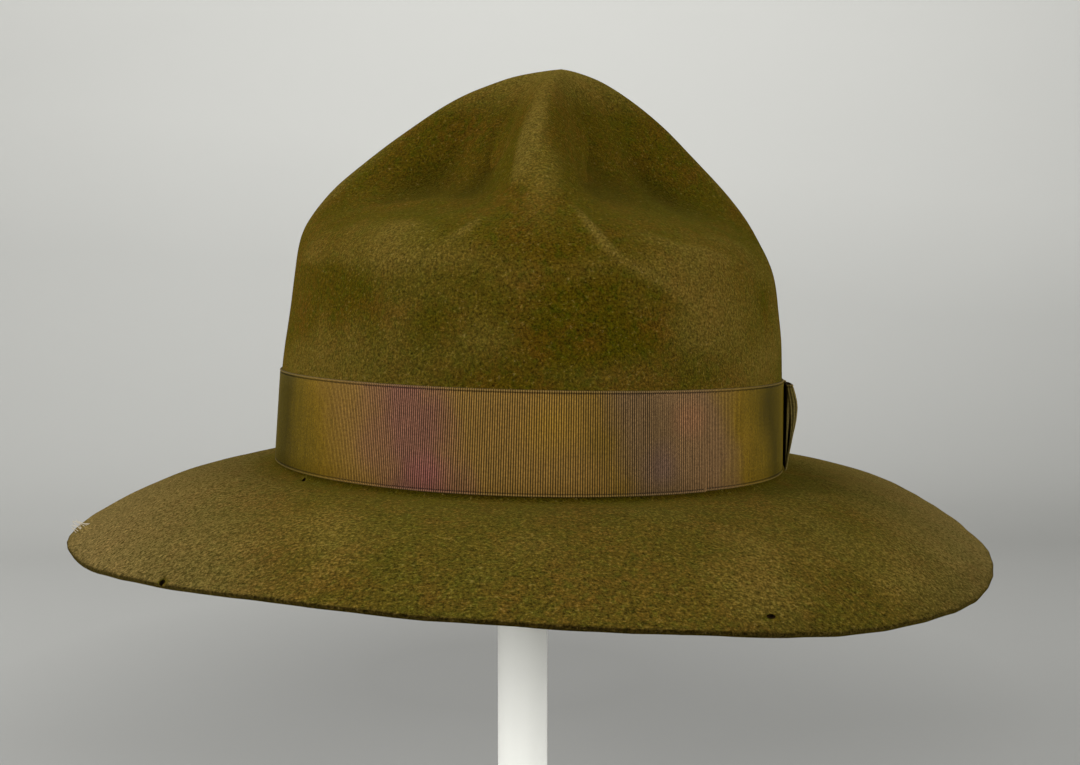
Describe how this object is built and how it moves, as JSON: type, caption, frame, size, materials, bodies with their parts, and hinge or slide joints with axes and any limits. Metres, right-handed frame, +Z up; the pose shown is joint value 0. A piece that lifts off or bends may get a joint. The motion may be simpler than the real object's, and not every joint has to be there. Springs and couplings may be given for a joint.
{
  "type": "campaign hat on a display stand",
  "caption": "Felt campaign hat with a peaked crown, four pinched dents, a broad drooping brim and a flat-bowed ribbon band, resting on a plain round stand.",
  "frame": {"origin": "middle of the stand's flat underside", "axes": "+Z up, -Y the way the hat faces, +X towards its wearer's left"},
  "size_m": [0.3139, 0.3432, 0.3],
  "materials": {
    "felt": "olive drab fur felt, short nap, slightly mottled",
    "grosgrain": "ribbed silk ribbon, faded unevenly to gold, tan and purple",
    "stand_white": "smooth white, satin"
  },
  "bodies": {
    "root": {"felt_body": "felt", "hat_band": "grosgrain", "bow_loops": "grosgrain", "bow_knot": "grosgrain", "stand_cap": "stand_white", "stand_post": "stand_white", "stand_base": "stand_white"}
  },
  "joints": []
}
